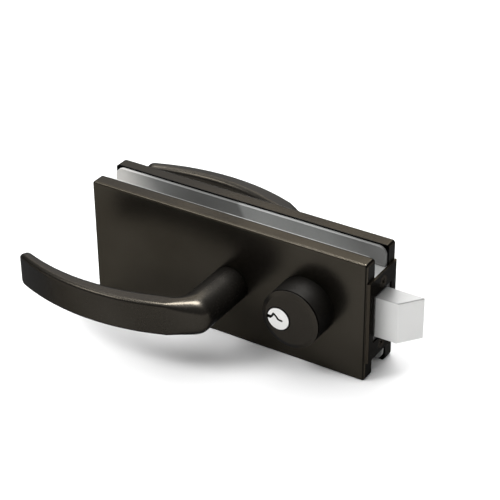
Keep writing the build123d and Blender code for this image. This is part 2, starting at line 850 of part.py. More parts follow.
# Cylinder housing, set off centre from the plug that it guards.
housing_x = lock_x + housing_offset_x
housing_z = lock_z + housing_offset_z
housing_front = cover_front + housing_length
groove_back = -housing_front + housing_bevel_depth + housing_front_band + housing_groove
stem_end = clamp_face + stem_end_gap
with BuildPart() as cylinder_housing:
    with BuildSketch(Plane(origin=(housing_x, 0, housing_z), x_dir=(1, 0, 0), z_dir=(0, 0, 1))):
        with BuildLine():
            Polyline(
                (0, -cover_front),
                (housing_base_radius, -cover_front),
                (housing_radius, groove_back),
                (housing_radius - housing_groove, groove_back),
                (housing_radius - housing_groove, groove_back - housing_groove),
                (housing_radius, groove_back - housing_groove),
                (housing_radius, -housing_front + housing_bevel_depth),
                (housing_radius - housing_bevel_width, -housing_front),
                (0, -housing_front),
                close=True,
            )
        make_face()
    revolve(axis=Axis((housing_x, 0, housing_z), (0, 1, 0)))
    with BuildSketch(facing_out(stem_end)):
        with Locations((lock_x, lock_z)):
            Circle(stem_radius)
    extrude(amount=cover_front - stem_end)
    with BuildSketch(facing_out(stem_end)):
        with Locations((lock_x, lock_z)):
            Circle(plug_radius + running)
    extrude(amount=housing_front - stem_end, mode=Mode.SUBTRACT)
    with BuildSketch(facing_out(housing_front - plug_rim)):
        with Locations((lock_x, lock_z)):
            Circle(plug_radius + plug_rim)
    extrude(amount=plug_rim, mode=Mode.SUBTRACT)
cylinder_housing.part.label = "cylinder_housing"
export_step(cylinder_housing.part, "parts/cylinder_housing.step")

# Nut on the housing's stem, against the clamp plate.
with BuildPart() as cylinder_nut:
    with BuildSketch(facing_out(clamp_back)):
        with Locations((lock_x, lock_z)):
            RegularPolygon(nut_size / 2, 6, major_radius=False)
            Circle(stem_radius + running, mode=Mode.SUBTRACT)
    extrude(amount=nut_thickness)
cylinder_nut.part.label = "cylinder_nut"
export_step(cylinder_nut.part, "parts/cylinder_nut.step")

with BuildPart() as rose_nut:
    mirror(cylinder_nut.part, about=Plane.XZ)
rose_nut.part.label = "rose_nut"
export_step(rose_nut.part, "parts/rose_nut.step")

# Key plug with a wavy keyway, open at its left edge, and a slot for the tail bar.
plug_front = housing_front + plug_proud
plug_end = clamp_face + plug_end_gap
with BuildPart() as key_plug:
    with BuildSketch(facing_out(plug_end)):
        with Locations((lock_x, lock_z)):
            Circle(plug_radius)
    extrude(amount=plug_front - plug_end)
    with BuildSketch(facing_out(plug_end + clip_thickness)):
        with Locations((lock_x, lock_z)):
            Circle(plug_radius)
            Circle(plug_radius - clip_depth, mode=Mode.SUBTRACT)
    extrude(amount=-(clip_thickness - plug_end_gap), mode=Mode.SUBTRACT)
    with BuildSketch(facing_out(plug_front - keyway_depth)):
        with BuildLine() as keyway_line:
            Spline(
                (lock_x - plug_radius, lock_z),
                (lock_x - 0.6 * plug_radius, lock_z + 0.4),
                (lock_x - 0.42 * plug_radius, lock_z + keyway_rise),
                (lock_x - 0.2 * plug_radius, lock_z + keyway_rise / 2),
                (lock_x, lock_z - 0.4),
                (lock_x + keyway_end, lock_z - 0.7),
            )
        trace(lines=keyway_line.line, line_width=keyway_width)
        with Locations((lock_x - plug_radius, lock_z)):
            Rectangle(2 * keyway_mouth_length, keyway_mouth)
    extrude(amount=keyway_depth, mode=Mode.SUBTRACT)
    with BuildSketch(facing_out(plug_end)):
        with Locations((lock_x, lock_z)):
            Rectangle(tail_width + 2 * running, tail_thickness + 2 * running)
    extrude(amount=clamp_thickness, mode=Mode.SUBTRACT)
key_plug.part.label = "key_plug"
export_step(key_plug.part, "parts/key_plug.step")

with BuildPart() as plug_clip:
    add(
        snap_ring(
            (lock_x, lock_z),
            plug_end + plug_end_gap + running / 2,
            plug_radius - clip_depth + running,
            plug_radius + clip_height,
            clip_thickness - plug_end_gap - running,
            clip_opening,
        )
    )
plug_clip.part.label = "plug_clip"
export_step(plug_clip.part, "parts/plug_clip.step")

# Thumbturn rose on the inside, with its stem.
rose_front = cover_front + rose_height
with BuildPart() as thumbturn_rose:
    with BuildSketch(facing_in(cover_front)):
        with Locations((lock_x, -lock_z)):
            Circle(rose_radius)
    extrude(amount=rose_height)
    fillet(thumbturn_rose.faces().sort_by(Axis.Y)[-1].edges(), radius=rose_edge_round)
    with BuildSketch(facing_in(stem_end)):
        with Locations((lock_x, -lock_z)):
            Circle(stem_radius)
    extrude(amount=cover_front - stem_end)
    with BuildSketch(facing_in(stem_end)):
        with Locations((lock_x, -lock_z)):
            Circle(thumb_spindle_radius + running)
    extrude(amount=rose_front - stem_end, mode=Mode.SUBTRACT)
thumbturn_rose.part.label = "thumbturn_rose"
export_step(thumbturn_rose.part, "parts/thumbturn_rose.step")

# Thumbturn: a spindle, a round base and an oblong grip, slotted for the tail bar.
thumb_base_face = rose_front + seat
thumb_grip_face = thumb_base_face + thumb_base_height
tail_end = rose_front
with BuildPart() as thumbturn:
    with BuildSketch(facing_in(plug_end)):
        with Locations((lock_x, -lock_z)):
            Circle(thumb_spindle_radius)
    extrude(amount=thumb_base_face - plug_end)
    with BuildSketch(facing_in(thumb_base_face)):
        with Locations((lock_x, -lock_z)):
            Circle(thumb_base_radius)
    extrude(amount=thumb_base_height)
    with BuildSketch(facing_in(thumb_grip_face)):
        with Locations((lock_x, -lock_z)):
            SlotOverall(thumb_grip_length, thumb_grip_width)
    extrude(amount=thumb_grip_height)
    fillet(thumbturn.faces().sort_by(Axis.Y)[-1].edges(), radius=thumb_grip_round)
    with BuildSketch(facing_in(plug_end + clip_thickness)):
        with Locations((lock_x, -lock_z)):
            Circle(thumb_spindle_radius)
            Circle(thumb_spindle_radius - clip_depth, mode=Mode.SUBTRACT)
    extrude(amount=-(clip_thickness - plug_end_gap), mode=Mode.SUBTRACT)
    with BuildSketch(facing_in(plug_end)):
        with Locations((lock_x, -lock_z)):
            Rectangle(tail_width + 2 * tail_clearance, tail_thickness + 2 * tail_clearance)
    extrude(amount=tail_end + loose - plug_end, mode=Mode.SUBTRACT)
thumbturn.part.label = "thumbturn"
export_step(thumbturn.part, "parts/thumbturn.step")

with BuildPart() as thumbturn_clip:
    mirror(
        snap_ring(
            (lock_x, lock_z),
            plug_end + plug_end_gap + running / 2,
            thumb_spindle_radius - clip_depth + running,
            thumb_spindle_radius + clip_height,
            clip_thickness - plug_end_gap - running,
            clip_opening,
        ),
        about=Plane.XZ,
    )
thumbturn_clip.part.label = "thumbturn_clip"
export_step(thumbturn_clip.part, "parts/thumbturn_clip.step")

# Tail bar from the plug, through the cam, into the thumbturn.
tail_start = plug_end + clamp_thickness - loose
with BuildPart() as tail_bar:
    with BuildSketch(facing_out(-tail_end)):
        with Locations((lock_x, lock_z)):
            Rectangle(tail_width, tail_thickness)
    extrude(amount=tail_end + tail_start)
tail_bar.part.label = "tail_bar"
export_step(tail_bar.part, "parts/tail_bar.step")

# Cam: a barrel in the walls of the case, a disc, and a pin that drives the locking slide.
cam_pin_shift = cam_pin_orbit * sin(radians(key_turn / 2))
cam_pin_drop = cam_pin_orbit * cos(radians(key_turn / 2))
locking_face = case_inner - loose - locking_thickness
cam_disc_face = locking_face - loose
with BuildPart() as lock_cam:
    with BuildSketch(facing_out(-clamp_face)):
        with Locations((lock_x, lock_z)):
            Circle(cam_barrel_radius)
    extrude(amount=2 * clamp_face)
    with BuildSketch(facing_out(cam_disc_face - cam_disc_thickness)):
        with Locations((lock_x, lock_z)):
            Circle(cam_disc_radius)
    extrude(amount=cam_disc_thickness)
    with BuildSketch(facing_out(cam_disc_face)):
        with Locations((lock_x + cam_pin_shift, lock_z - cam_pin_drop)):
            Circle(cam_pin_radius)
    extrude(amount=locking_thickness + loose)
    with BuildSketch(facing_out(-clamp_face)):
        with Locations((lock_x, lock_z)):
            Rectangle(tail_width + 2 * tail_clearance, tail_thickness + 2 * tail_clearance)
    extrude(amount=2 * clamp_face, mode=Mode.SUBTRACT)
lock_cam.part.label = "lock_cam"
export_step(lock_cam.part, "parts/lock_cam.step")

# Locking slide: a bar with a fork for the cam's pin and a nose that goes to the hub's notch.
fork_half = cam_pin_radius + fork_clearance
locking_top = lock_z - cam_barrel_radius - nose_gap
fork_bottom = lock_z - cam_pin_orbit - cam_pin_radius - nose_gap
locking_right = lock_x + cam_pin_shift + fork_half + locking_prong
nose_centre_z = lever_z - hub_notch_drop
nose_top_drop = hub_notch_drop - locking_nose_height / 2
locked_nose_x = lever_x + sqrt(hub_disc_radius**2 - nose_top_drop**2) + nose_stop_gap
locking_left = locked_nose_x + 2 * cam_pin_shift
with BuildPart() as locking_slide:
    with BuildSketch(facing_out(locking_face)):
        with Locations((locking_left + locking_step, locking_top)):
            Rectangle(
                locking_right - locking_left - locking_step,
                locking_top + locking_bottom,
                align=(Align.MIN, Align.MAX),
            )
        with Locations((locking_left, nose_centre_z)):
            Rectangle(
                2 * locking_step,
                locking_nose_height,
                align=(Align.MIN, Align.CENTER),
            )
        with Locations((lock_x + cam_pin_shift, locking_top)):
            Rectangle(
                2 * fork_half,
                locking_top - fork_bottom,
                align=(Align.CENTER, Align.MAX),
                mode=Mode.SUBTRACT,
            )
    extrude(amount=locking_thickness)
locking_slide.part.label = "locking_slide"
export_step(locking_slide.part, "parts/locking_slide.step")

# Threaded sleeves from the outside clamp plate, and the screws that close the clamp.
with BuildPart() as fixing_sleeves:
    with BuildSketch(facing_out(loose - clamp_face)):
        with Locations(*all_fixings):
            Circle(sleeve_radius)
            Circle(fixing_screw_radius, mode=Mode.SUBTRACT)
    extrude(amount=clamp_back + clamp_face - loose)
fixing_sleeves.part.label = "fixing_sleeves"
export_step(fixing_sleeves.part, "parts/fixing_sleeves.step")

with BuildPart() as fixing_screws:
    add(
        countersunk_screws(
            facing_in(clamp_back),
            seen_from_inside(all_fixings),
            fixing_screw_head,
            fixing_screw_radius,
            clamp_back + fixing_screw_reach,
        )
    )
fixing_screws.part.label = "fixing_screws"
export_step(fixing_screws.part, "parts/fixing_screws.step")

# Plastic sleeves that line the two holes in the glass.
with BuildPart() as glass_sleeves:
    with BuildSketch(facing_out(-glass_face)):
        with Locations(*glass_fixings):
            Circle(sleeve_radius + seat + glass_sleeve_wall)
            Circle(sleeve_radius + seat, mode=Mode.SUBTRACT)
    extrude(amount=glass_thickness)
glass_sleeves.part.label = "glass_sleeves"
export_step(glass_sleeves.part, "parts/glass_sleeves.step")

# Set screws through the bottom walls of the covers, into the clamp plates.
cover_screw_points = [
    (x, y) for x in (-cover_screw_x, cover_screw_x) for y in (-cover_screw_y, cover_screw_y)
]
with BuildPart() as cover_screws:
    with BuildSketch(Plane.XY.offset(-plate_height / 2)):
        with Locations(*cover_screw_points):
            Circle(cover_screw_radius)
    extrude(amount=cover_screw_length)
    with BuildSketch(Plane.XY.offset(-plate_height / 2)):
        with Locations(*cover_screw_points):
            RegularPolygon(cover_screw_socket / 2, 6, major_radius=False)
    extrude(amount=cover_screw_socket_depth, mode=Mode.SUBTRACT)
cover_screws.part.label = "cover_screws"
export_step(cover_screws.part, "parts/cover_screws.step")
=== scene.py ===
import bpy
import bmesh
import math
from mathutils import Matrix, Vector


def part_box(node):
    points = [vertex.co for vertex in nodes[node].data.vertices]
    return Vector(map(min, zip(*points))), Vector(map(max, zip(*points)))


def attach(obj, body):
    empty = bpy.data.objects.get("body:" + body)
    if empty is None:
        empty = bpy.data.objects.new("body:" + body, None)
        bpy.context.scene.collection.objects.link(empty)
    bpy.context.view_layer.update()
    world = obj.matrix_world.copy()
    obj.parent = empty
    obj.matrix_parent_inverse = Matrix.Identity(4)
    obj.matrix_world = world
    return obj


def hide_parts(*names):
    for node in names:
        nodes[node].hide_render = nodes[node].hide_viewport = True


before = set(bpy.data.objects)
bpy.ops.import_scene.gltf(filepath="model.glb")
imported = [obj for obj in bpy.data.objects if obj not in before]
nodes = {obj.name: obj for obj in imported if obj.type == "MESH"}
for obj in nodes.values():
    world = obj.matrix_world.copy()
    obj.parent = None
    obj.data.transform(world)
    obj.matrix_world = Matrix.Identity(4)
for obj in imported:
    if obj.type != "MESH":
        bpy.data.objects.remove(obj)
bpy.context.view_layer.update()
print("frame loaded,", len(nodes), "nodes")

# Vertices closer than this, in metres, become one.
mergeDistance = 1e-6

# Camera, as the photograph was taken: its place in metres, its angles in degrees.
view = {
    "place": (0.4443, -0.6889, 0.5043),
    "azimuth": 32.41,
    "elevation": 31.05,
    "roll": -0.56,
    "focalPixels": 1656.9,
    "imagePixels": 500,
    "sensor": 36.0,
    "clipStart": 0.05,
    "clipEnd": 20.0,
}


# Middle of a node's box, across and up as seen from the front.
def middleOf(name):
    low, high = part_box(name)
    return (low.x + high.x) / 2, (low.z + high.z) / 2


def addObject(name, data):
    made = bpy.data.objects.new(name, data)
    bpy.context.scene.collection.objects.link(made)
    return made


def makeCamera(view):
    azimuth, elevation, roll = (math.radians(view[k]) for k in ("azimuth", "elevation", "roll"))
    data = bpy.data.cameras.new("productCamera")
    data.sensor_width = view["sensor"]
    data.lens = view["focalPixels"] * view["sensor"] / view["imagePixels"]
    data.clip_start = view["clipStart"]
    data.clip_end = view["clipEnd"]
    camera = addObject("productCamera", data)
    turn = (
        Matrix.Rotation(azimuth, 4, "Z")
        @ Matrix.Rotation(math.pi / 2 - elevation, 4, "X")
        @ Matrix.Rotation(roll, 4, "Z")
    )
    camera.matrix_world = Matrix.Translation(view["place"]) @ turn
    bpy.context.scene.camera = camera


makeCamera(view)
print("camera placed")


# A socket that Python's operators work on, from either side: each adds its Math node.
class Wire:
    def __init__(self, shader, socket):
        self.shader = shader
        self.socket = socket

    def math(self, operation, *values):
        return self.shader.node("ShaderNodeMath", {"operation": operation}, *values)

    def absolute(self):
        return self.math("ABSOLUTE", self)

    def root(self):
        return self.math("SQRT", self)

    def __add__(self, other):
        return self.math("ADD", self, other)

    def __radd__(self, other):
        return self.math("ADD", other, self)

    def __sub__(self, other):
        return self.math("SUBTRACT", self, other)

    def __rsub__(self, other):
        return self.math("SUBTRACT", other, self)

    def __mul__(self, other):
        return self.math("MULTIPLY", self, other)

    def __rmul__(self, other):
        return self.math("MULTIPLY", other, self)

    def __truediv__(self, other):
        return self.math("DIVIDE", self, other)

    def __rtruediv__(self, other):
        return self.math("DIVIDE", other, self)

    def clamped(self):
        return self.math("MINIMUM", self.math("MAXIMUM", self, 0.0), 1.0)

    def step(self, low, high):  # 0 below low, 1 above high, smooth between
        return self.shader.node(
            "ShaderNodeMapRange", {"interpolation_type": "SMOOTHSTEP"},
            **{"Value": self, "From Min": low, "From Max": high},
        )


# The nodes of one material.
class Finish:
    def __init__(self, name):
        self.material = bpy.data.materials.new(name)
        self.material.use_nodes = True
        self.tree = self.material.node_tree
        self.shader = self.tree.nodes["Principled BSDF"]

    def node(self, kind, settings=None, *values, output=0, **named):
        made = self.tree.nodes.new(kind)
        for setting, value in (settings or {}).items():
            setattr(made, setting, value)
        for key, value in list(enumerate(values)) + list(named.items()):
            self.feed(made.inputs[key], value)
        return Wire(self, made.outputs[output])

    def feed(self, socket, value):
        if isinstance(value, Wire):
            self.tree.links.new(value.socket, socket)
        else:
            socket.default_value = value

    def set(self, **sockets):
        for key, value in sockets.items():
            self.feed(self.shader.inputs[key.replace("_", " ")], value)

    def place(self):
        return self.node("ShaderNodeTexCoord", output="Object")

    def noise(self, where, scale, detail=3.0, roughness=0.5):
        return self.node(
            "ShaderNodeTexNoise", None,
            **{"Vector": where, "Scale": scale, "Detail": detail, "Roughness": roughness},
        )

    def stretched(self, where, scale):
        return self.node("ShaderNodeMapping", None, **{"Vector": where, "Scale": scale})

    def colours(self, factor, first, second):
        return self.node(
            "ShaderNodeMix", {"data_type": "RGBA"}, output="Result",
            **{"Factor": factor, "A": self.opaque(first), "B": self.opaque(second)},
        )

    def opaque(self, colour):
        return (*colour, 1.0) if isinstance(colour, tuple) else colour

    def axis(self, where, name):
        return self.node("ShaderNodeSeparateXYZ", None, where, output=name)

    def edgeWear(self, radius, samples, low, high):  # 1 on an edge, 0 on a flat
        rounded = self.node("ShaderNodeBevel", {"samples": samples}, Radius=radius)
        plain = self.node("ShaderNodeNewGeometry", output="Normal")
        along = self.node(
            "ShaderNodeVectorMath", {"operation": "DOT_PRODUCT"}, rounded, plain, output="Value",
        )
        return (1.0 - along).step(low, high)

    def bump(self, height, strength, distance):
        return self.node(
            "ShaderNodeBump", None, **{"Height": height, "Strength": strength, "Distance": distance},
        )


# What every finish shares: detail of its noises, and the values between which each of them fades.
surface = {
    "cloudDetail": 2.0,
    "cloudFrom": 0.3,
    "cloudTo": 0.7,
    "grainDetail": 4.0,
    "grainRoughness": 0.6,
    "grainMiddle": 0.5,
    "bevelSamples": 6,
    "edgeFrom": 0.02,
    "edgeTo": 0.3,
    "wearFrom": 0.35,
    "wearTo": 0.6,
    "wearPolish": 0.1,
}


# Every finish: tone that drifts over the piece, grain, worn edges and a fine surface.
# A shade changes that tone by place with painted light and shade: at a rim, a groove, a keyway, a
# border or the top of a piece.
def makeFinish(name, look, shade=None):
    finish = Finish(name)
    where = finish.place()
    drawn = finish.stretched(where, look["stretch"])
    cloud = finish.noise(where, look["cloudScale"], surface["cloudDetail"])
    cloud = cloud.step(surface["cloudFrom"], surface["cloudTo"])
    grain = finish.noise(drawn, look["grainScale"], surface["grainDetail"], surface["grainRoughness"])
    edges = finish.edgeWear(
        look["edgeRadius"], surface["bevelSamples"], surface["edgeFrom"], surface["edgeTo"]
    )
    patches = finish.noise(where, look["wearScale"]).step(surface["wearFrom"], surface["wearTo"])
    worn = edges * patches * look["wear"]
    tone = finish.colours(cloud, look["dark"], look["light"])
    tone = finish.colours(grain * look["grainTone"], tone, look["speck"])
    tone = finish.colours(worn, tone, look["edge"])
    sheen = look["coat"]
    if shade:
        tone, sheen = shade(finish, where, tone, look)
    rough = (grain - surface["grainMiddle"]) * look["roughDrift"] + look["roughness"]
    finish.set(
        Base_Color=tone,
        Metallic=look["metallic"],
        Roughness=(rough - worn * surface["wearPolish"]).clamped(),
        Specular_IOR_Level=look["specular"],
        Specular_Tint=(*look["rimTint"], 1.0),
        Coat_Weight=sheen,
        Coat_Roughness=look["coatRoughness"],
        Normal=finish.bump(grain, look["bump"], look["bumpDepth"]),
    )
    return finish.material


# The looks. Each one names only what sets it apart from the look that it starts from.
# Dark bronze of the covers: low tone, satin, with a broad soft sheen over a sharper one.
coverBronze = {
    "dark": (0.0212, 0.0182, 0.0128),
    "light": (0.034, 0.03, 0.0232),
    "speck": (0.034, 0.03, 0.025),
    "edge": (0.11, 0.1, 0.085),
    "stretch": (1, 1, 1),
    "cloudScale": 16.0,
    "grainScale": 900.0,
    "grainTone": 0.4,
    "wearScale": 160.0,
    "edgeRadius": 0.0006,
    "wear": 0.3,
    "metallic": 0.92,
    "roughness": 0.24,
    "roughDrift": 0.1,
    "specular": 0.3,
    "rimTint": (0.155, 0.168, 0.19),
    "coat": 0.04,
    "coatRoughness": 0.5,
    "bump": 0.2,
    "bumpDepth": 0.0001,
    # Painted shadow: the rim and line values and the rim colour paint the cover's rim strip black and a
    # dark line down its latch edge.
    "rim": 0.0084,
    "lineFrom": 0.0906,
    "lineTo": 0.0914,
    "lineDark": 0.85,
    "rimColour": (0.0015, 0.0012, 0.001),
    "fade": 0.0002,
}
leverBronze = coverBronze | {
    "dark": (0.0158, 0.0136, 0.01),
    "light": (0.0248, 0.022, 0.0175),
    "roughness": 0.26,
    "rimTint": (0.02, 0.025, 0.03),
    "bump": 0.3,
    "coat": 0.1,
    "grainScale": 700.0,
}
housingBronze = leverBronze | {
    "dark": (0.0088, 0.0072, 0.0049),
    "light": (0.0148, 0.0124, 0.0088),
    "roughness": 0.2,
    "coat": 0.17,
    "centre": middleOf("cylinder_housing"),
    # Painted shade: a dark line painted in the groove behind the bevel, and a painted shadow seam round
    # the plug.
    "grooveRadius": 0.0172,
    "grooveDepth": -0.0326,
    "grooveWidth": 0.0006,
    "plugCentre": middleOf("key_plug"),
    "plugRing": 0.0076,
    "seamFade": 0.0001,
    "lineColour": (0.0015, 0.0012, 0.001),
}
faceplateBronze = coverBronze | {
    "dark": (0.0168, 0.0137, 0.0094),
    "light": (0.0265, 0.0223, 0.0167),
    "rimTint": (0.12, 0.12, 0.12),
    "coat": 0.0,
}
screwBronze = faceplateBronze | {
    "dark": (0.04, 0.035, 0.028),
    "light": (0.07, 0.062, 0.052),
    "roughness": 0.3,
    "grainScale": 1500.0,
}
nickel = coverBronze | {
    "dark": (0.6, 0.6, 0.585),
    "light": (0.7, 0.7, 0.685),
    "speck": (0.76, 0.76, 0.74),
    "edge": (0.85, 0.85, 0.83),
    "specular": 0.5,
    "rimTint": (1.0, 1.0, 1.0),
    "coat": 0.0,
    "stretch": (1, 1, 14),
    "grainScale": 500.0,
    "metallic": 0.6,
    "roughness": 0.34,
    "bump": 0.12,
}
boltNickel = nickel | {
    "dark": (0.54, 0.54, 0.53),
    "light": (0.62, 0.62, 0.61),
    "speck": (0.66, 0.66, 0.65),
    "edge": (0.72, 0.72, 0.7),
    "metallic": 0.3,
    "roughness": 0.42,
    # Painted shade: the bolt's top is painted darker than its sides.
    "topHeight": 0.0129,
    "topFade": 0.0003,
    "topTone": (0.29, 0.29, 0.285),
}
zinc = nickel | {
    "dark": (0.5, 0.51, 0.5),
    "light": (0.66, 0.67, 0.66),
    "stretch": (1, 1, 1),
    "roughness": 0.4,
}
steel = nickel | {
    "dark": (0.36, 0.37, 0.38),
    "light": (0.5, 0.51, 0.52),
    "stretch": (9, 1, 1),
    "roughness": 0.38,
}
castHub = nickel | {
    "dark": (0.2, 0.2, 0.2),
    "light": (0.3, 0.3, 0.3),
    "speck": (0.14, 0.14, 0.14),
    "stretch": (1, 1, 1),
    "grainScale": 1200.0,
    "roughness": 0.55,
    "bump": 0.5,
}
springSteel = nickel | {"dark": (0.24, 0.24, 0.25), "light": (0.36, 0.36, 0.37), "roughness": 0.3}
brass = nickel | {"dark": (0.42, 0.27, 0.09), "light": (0.6, 0.4, 0.14), "speck": (0.7, 0.5, 0.2)}
gasketRubber = coverBronze | {
    "metallic": 0.0,
    "rimTint": (1.0, 1.0, 1.0),
    "coat": 0.0,
    "dark": (0.215, 0.22, 0.215),
    "light": (0.29, 0.295, 0.29),
    "speck": (0.34, 0.34, 0.335),
    "edge": (0.5, 0.5, 0.49),
    # Painted light: a painted highlight at the hinge end, the deep painted shade up to the slanted
    # border, and painted shadow at the latch end.
    "pale": (0.55, 0.54, 0.52),
    "paleFrom": -0.058,
    "paleTo": -0.094,
    "slant": 0.5,
    "shift": 0.018,
    "stain": 0.9,
    "deep": (0.112, 0.112, 0.108),
    "deepFrom": -0.085,
    "deepFull": -0.03,
    "deepTo": -0.006,
    "deepFade": 0.004,
    "dusky": (0.14, 0.14, 0.136),
    "duskyFrom": 0.05,
    "duskyTo": 0.08,
    "cloudScale": 22.0,
    "grainScale": 700.0,
    "roughness": 0.7,
    "bump": 0.4,
}
blackNylon = coverBronze | {
    "dark": (0.008, 0.008, 0.007),
    "light": (0.014, 0.013, 0.012),
    "metallic": 0.0,
    "roughness": 0.5,
}
whiteNylon = gasketRubber | {"dark": (0.6, 0.6, 0.58), "light": (0.72, 0.72, 0.7), "roughness": 0.45}


# Painted shadow on the cover: its rim strip, where it faces the glass, is painted black, and a painted
# dark line runs down its latch edge; both lose the sheen.
def coverPaintedShadow(finish, where, tone, look):
    depth = finish.axis(where, "Y").absolute()
    along = finish.axis(where, "X")
    fade = look["fade"]
    line = along.step(look["lineFrom"], look["lineFrom"] + fade)
    line = line * along.step(look["lineTo"] + fade, look["lineTo"])
    rim = (depth.step(look["rim"] + fade, look["rim"]) + line * look["lineDark"]).clamped()
    return finish.colours(rim, tone, look["rimColour"]), (1 - rim) * look["coat"]


# Painted light on the gasket: a painted highlight at its hinge end, painted shade from there to a
# slanted border, and painted shadow at its latch end.
def gasketPaintedLight(finish, where, tone, look):
    along = finish.axis(where, "X") + finish.axis(where, "Z") * look["slant"] - look["shift"]
    paintedShade = along.step(look["deepTo"] + look["deepFade"], look["deepTo"])
    paintedShade = paintedShade * along.step(look["deepFrom"], look["deepFull"])
    dusky = along.step(look["duskyFrom"], look["duskyTo"])
    tone = finish.colours(paintedShade * look["stain"], tone, look["deep"])
    tone = finish.colours(dusky * look["stain"], tone, look["dusky"])
    paintedHighlightShare = along.step(look["paleFrom"], look["paleTo"])
    return finish.colours(paintedHighlightShare, tone, look["pale"]), look["coat"]


# Painted shade: the bolt's top is painted darker than its sides.
def boltPaintedShade(finish, where, tone, look):
    top = finish.axis(where, "Z").step(look["topHeight"] - look["topFade"], look["topHeight"])
    return finish.colours(top, tone, look["topTone"]), look["coat"]


# Where a point lies across and up from a centre, as seen from the front.
def offsetFrom(finish, where, centre):
    return finish.axis(where, "X") - centre[0], finish.axis(where, "Z") - centre[1]


def lengthOf(across, up):
    return (across * across + up * up).root()


# Painted shade on the housing: a dark line painted in the groove behind its bevel, and a painted shadow
# seam round the plug.
def housingPaintedShade(finish, where, tone, look):
    fromMiddle = lengthOf(*offsetFrom(finish, where, look["centre"]))
    fromPlug = lengthOf(*offsetFrom(finish, where, look["plugCentre"]))
    outside = fromMiddle.step(look["grooveRadius"], look["grooveRadius"] + look["fade"])
    offGroove = (finish.axis(where, "Y") - look["grooveDepth"]).absolute()
    groove = offGroove.step(look["grooveWidth"], look["grooveWidth"] / 2) * outside
    seam = fromPlug.step(look["plugRing"], look["plugRing"] - look["seamFade"])
    line = (groove + seam).clamped()
    return finish.colours(line, tone, look["lineColour"]), (1 - line) * look["coat"]


# Painted shade on the plug: a painted shadow ring round it, painted shade inside its keyway, and a
# painted shadow lip along the keyway's edges.
def plugPaintedShade(finish, where, tone, look):
    across, up = offsetFrom(finish, where, look["centre"])
    inside = finish.axis(where, "Y").step(look["insideFrom"], look["insideTo"])
    ring = lengthOf(across, up).step(look["ring"], look["ring"] + look["seamFade"])
    dark = (ring + inside).clamped()
    for start, end in zip(look["keyway"], look["keyway"][1:]):
        run, rise = end[0] - start[0], end[1] - start[1]
        passed = (across - start[0]) * run + (up - start[1]) * rise
        share = (passed / (run * run + rise * rise)).clamped()
        away = lengthOf(across - start[0] - share * run, up - start[1] - share * rise)
        lip = away.step(look["lip"] + look["seamFade"], look["lip"])
        dark = dark.math("MAXIMUM", dark, lip)
    return finish.colours(dark, tone, look["ringColour"]), look["coat"]


# The keyway's points are across and up from the plug's centre.
plugNickel = nickel | {
    "centre": middleOf("key_plug"),
    # Painted shade: the keyway's inside, a shadow ring round the plug and a shadow lip along the keyway
    # are painted dark.
    "insideFrom": -0.03429,
    "insideTo": -0.03423,
    "ring": 0.0067,
    "seamFade": 0.0001,
    "keyway": (
        (-0.0066, 0.0),
        (-0.0043, 0.0004),
        (-0.003, 0.0026),
        (-0.0014, 0.0013),
        (0.0, -0.0004),
        (0.0023, -0.0007),
    ),
    "lip": 0.0006,
    "ringColour": (0.002, 0.002, 0.0015),
}

# Each finish: its look, its shade and the nodes that wear it.
finishes = {
    "coverBronze": (coverBronze, coverPaintedShadow, ["outside_cover", "inside_cover"]),
    "leverBronze": (leverBronze, None, ["outside_lever", "inside_lever"]),
    "housingBronze": (housingBronze, housingPaintedShade, ["cylinder_housing"]),
    "turnBronze": (housingBronze, None, ["thumbturn_rose", "thumbturn"]),
    "faceplateBronze": (faceplateBronze, None, ["faceplate"]),
    "gasketRubber": (gasketRubber, gasketPaintedLight, ["outside_gasket", "inside_gasket"]),
    "boltNickel": (boltNickel, boltPaintedShade, ["latch_bolt"]),
    "plugNickel": (plugNickel, plugPaintedShade, ["key_plug"]),
    "blackNylon": (blackNylon, None, ["guide_plate"]),
    "zinc": (zinc, None, ["lock_case", "case_cover", "outside_clamp_plate", "inside_clamp_plate"]),
    "castHub": (castHub, None, ["lever_hub", "lock_cam"]),
    "steel": (steel, None, [
        "retractor_slide", "slide_pins", "locking_slide", "spindle", "tail_bar", "fixing_screws",
        "fixing_sleeves", "cylinder_nut", "rose_nut",
    ]),
    "springSteel": (springSteel, None, [
        "hub_spring", "outside_retaining_ring", "inside_retaining_ring", "plug_clip",
        "thumbturn_clip",
    ]),
    "brass": (brass, None, ["outside_lever_bushing", "inside_lever_bushing"]),
    "whiteNylon": (whiteNylon, None, ["glass_sleeves"]),
}


def paint(piece, material):
    if not piece.material_slots:
        piece.data.materials.append(material)
    for materialSlot in piece.material_slots:
        materialSlot.material = material


paints = {name: makeFinish(name, look, shade) for name, (look, shade, members) in finishes.items()}
paints["screwBronze"] = makeFinish("screwBronze", screwBronze)
for name, (look, shade, members) in finishes.items():
    for member in members:
        paint(nodes[member], paints[name])
print(len(paints), "finishes made")


# The mesh that an object's modifiers leave, as plain data.
def finalMesh(piece):
    bpy.context.view_layer.update()
    return bpy.data.meshes.new_from_object(piece.evaluated_get(bpy.context.evaluated_depsgraph_get()))


# Merges doubles, turns the faces outward and writes the form to the mesh.
def keepForm(form, mesh):
    bmesh.ops.remove_doubles(form, verts=form.verts, dist=mergeDistance)
    bmesh.ops.recalc_face_normals(form, faces=form.faces)
    form.to_mesh(mesh)
    form.free()


